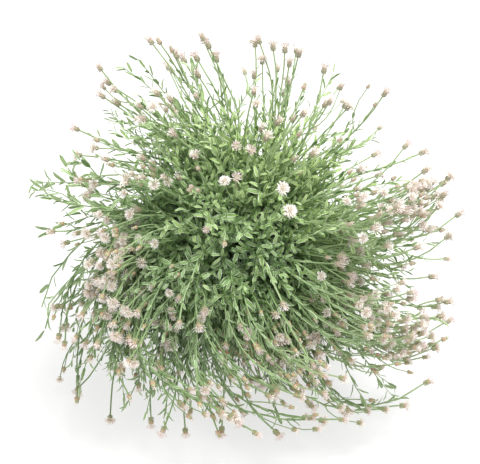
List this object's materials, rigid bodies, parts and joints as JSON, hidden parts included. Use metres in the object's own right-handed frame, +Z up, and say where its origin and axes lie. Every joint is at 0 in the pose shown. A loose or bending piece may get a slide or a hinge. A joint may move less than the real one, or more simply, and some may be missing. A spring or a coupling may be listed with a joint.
{
  "type": "potted hirtellina kurdica",
  "caption": "Bushy flowering perennial in a plain round clay pot: thin arching stems from a woody crown, narrow grey-green leaves and small pale pink tufted flower heads.",
  "frame": {"origin": "centre of the pot's flat base, on the surface it stands on", "axes": "+Z up, along the pot's axis; the picture's viewer stands on the -Y side, with +X to their right"},
  "size_m": [0.4006, 0.4075, 0.2973],
  "materials": {
    "clay": "matte",
    "soil": "matte",
    "bark": "matte",
    "foliage": "matte",
    "florets": "matte"
  },
  "bodies": {
    "root": {"pot": "clay", "soil": "soil", "rootstock": "bark", "flowering_stems_01": "foliage", "flowering_stems_02": "foliage", "flowering_stems_03": "foliage", "flowering_stems_04": "foliage", "flowering_stems_05": "foliage", "flowering_stems_06": "foliage", "flowering_stems_07": "foliage", "flowering_stems_08": "foliage", "flowering_stems_09": "foliage", "flowering_stems_10": "foliage", "flowering_stems_11": "foliage", "flowering_stems_12": "foliage", "flowering_stems_13": "foliage", "flowering_stems_14": "foliage", "flowering_stems_15": "foliage", "flowering_stems_16": "foliage", "flowering_stems_17": "foliage", "flowering_stems_18": "foliage", "flowering_stems_19": "foliage", "leafy_shoots_01": "foliage", "leafy_shoots_02": "foliage", "leafy_shoots_03": "foliage", "leafy_shoots_04": "foliage", "leafy_shoots_05": "foliage", "leafy_shoots_06": "foliage", "leafy_shoots_07": "foliage", "leafy_shoots_08": "foliage", "leafy_shoots_09": "foliage", "leafy_shoots_10": "foliage", "leafy_shoots_11": "foliage", "leafy_shoots_12": "foliage", "leafy_shoots_13": "foliage", "leafy_shoots_14": "foliage", "leafy_shoots_15": "foliage", "leafy_shoots_16": "foliage", "leafy_shoots_17": "foliage", "leafy_shoots_18": "foliage", "flower_head_01": "florets", "flower_head_02": "florets", "flower_head_03": "florets", "flower_head_04": "florets", "flower_head_05": "florets", "flower_head_06": "florets", "flower_head_07": "florets", "flower_head_08": "florets", "flower_head_09": "florets", "flower_head_10": "florets", "flower_head_11": "florets", "flower_head_12": "florets", "flower_head_13": "florets", "flower_head_14": "florets", "flower_head_15": "florets", "flower_head_16": "florets", "flower_head_17": "florets", "flower_head_18": "florets", "flower_head_19": "florets"}
  },
  "joints": []
}
